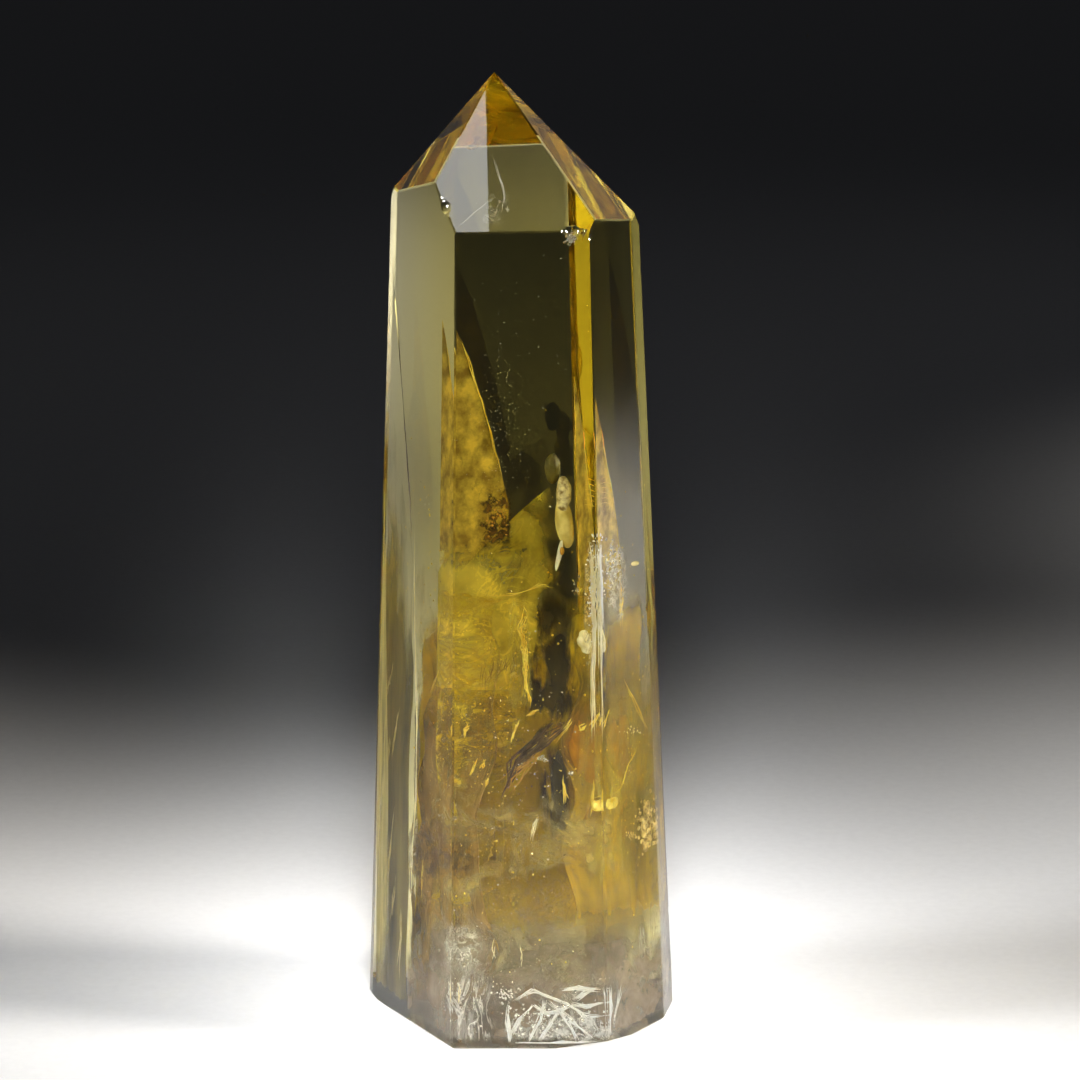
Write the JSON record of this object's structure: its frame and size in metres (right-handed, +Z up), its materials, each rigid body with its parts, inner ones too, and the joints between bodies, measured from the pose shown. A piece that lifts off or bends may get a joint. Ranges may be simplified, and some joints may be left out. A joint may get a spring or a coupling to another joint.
{
  "type": "citrine crystal point",
  "caption": "Clear golden quartz point ground to a tapering faceted tower with a sharp six-sided tip, standing on its flat foot.",
  "frame": {"origin": "middle of the flat foot, on the surface that the crystal stands on", "axes": "+Z up through the point, -Y out of the broad front face, +X to the right of that face"},
  "size_m": [0.0294, 0.0244, 0.0906],
  "materials": {
    "citrine": "polished"
  },
  "bodies": {
    "root": {"citrine_point": "citrine"}
  },
  "joints": []
}
